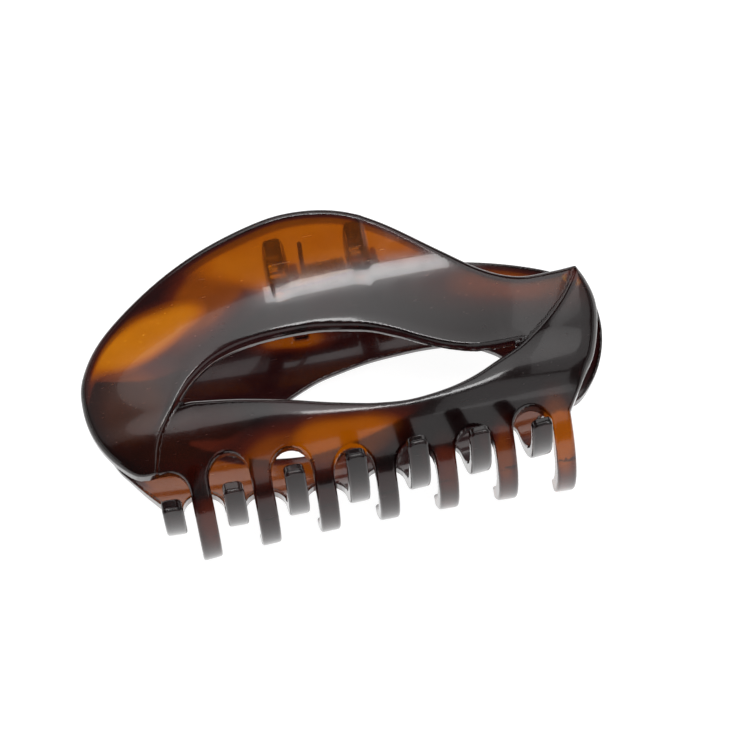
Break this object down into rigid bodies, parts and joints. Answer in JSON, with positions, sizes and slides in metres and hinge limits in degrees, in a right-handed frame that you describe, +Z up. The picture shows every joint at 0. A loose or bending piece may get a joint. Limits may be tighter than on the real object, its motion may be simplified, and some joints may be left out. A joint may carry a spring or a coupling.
{
  "type": "claw clip",
  "caption": "Large hair claw clip with two interlacing hooked jaws, an almond window in each, a hinge pin and a torsion spring.",
  "frame": {"origin": "on the resting plane, under the middle of the closed clip's bounding box", "axes": "+X along the clip, parallel to the hinge pin; +Y from the tips of the teeth to the grips; +Z up, out of the front jaw, with the clip lying on its rear jaw"},
  "size_m": [0.1046, 0.056, 0.0444],
  "materials": {
    "tortoiseshell": "polished translucent tortoiseshell acetate look, amber with dark red-brown",
    "pin_steel": "drawn steel rod, chamfered ends",
    "spring_steel": "drawn spring wire, lightly oiled"
  },
  "bodies": {
    "rear_half": {"rear_jaw": "tortoiseshell", "hinge_pin": "pin_steel", "torsion_spring": "spring_steel"},
    "front_half": {"front_jaw": "tortoiseshell"}
  },
  "joints": [
    {"name": "jaw_hinge", "type": "hinge", "parent": "rear_half", "child": "front_half", "pos_m": [0, 0.02174, 0.02219], "axis": [-1, 0, 0], "range_deg": [0, 60], "stiffness_Nm_per_rad": 0.12, "springref_deg": -68.75, "deforming": ["torsion_spring"]}
  ]
}
